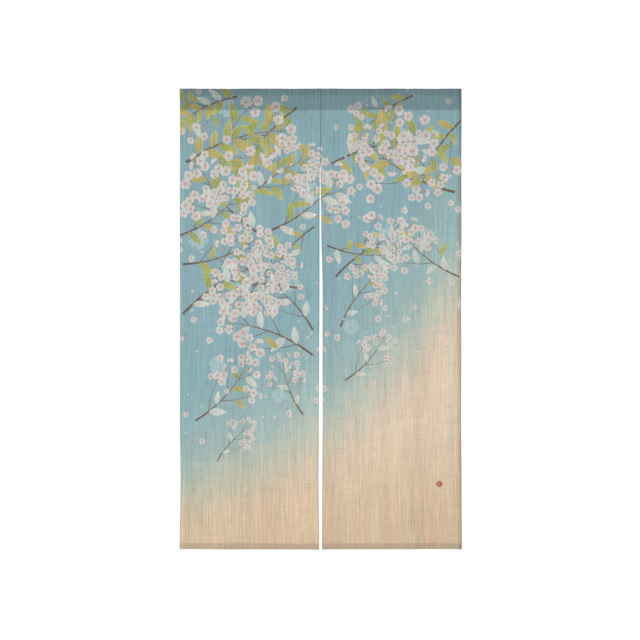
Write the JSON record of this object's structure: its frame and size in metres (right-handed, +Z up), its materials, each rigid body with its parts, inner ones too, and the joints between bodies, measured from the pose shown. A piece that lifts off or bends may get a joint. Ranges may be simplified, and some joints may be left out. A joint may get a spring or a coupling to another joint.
{
  "type": "noren curtain",
  "caption": "Split hemp doorway curtain (noren) with a folded rod sleeve along its top, a short centre seam, an open slit below and a narrow hem.",
  "frame": {"origin": "on the axis of the rod that the sleeve takes, at mid width", "axes": "+X along the rod, -Y out of the front of the cloth, +Z up"},
  "size_m": [0.901, 0.0225, 1.4726],
  "materials": {
    "hemp_cloth": "slubby open hemp weave, dyed from turquoise to sand"
  },
  "bodies": {
    "root": {"sleeve_left": "hemp_cloth", "sleeve_right": "hemp_cloth", "panel_left": "hemp_cloth", "panel_right": "hemp_cloth"}
  },
  "joints": []
}
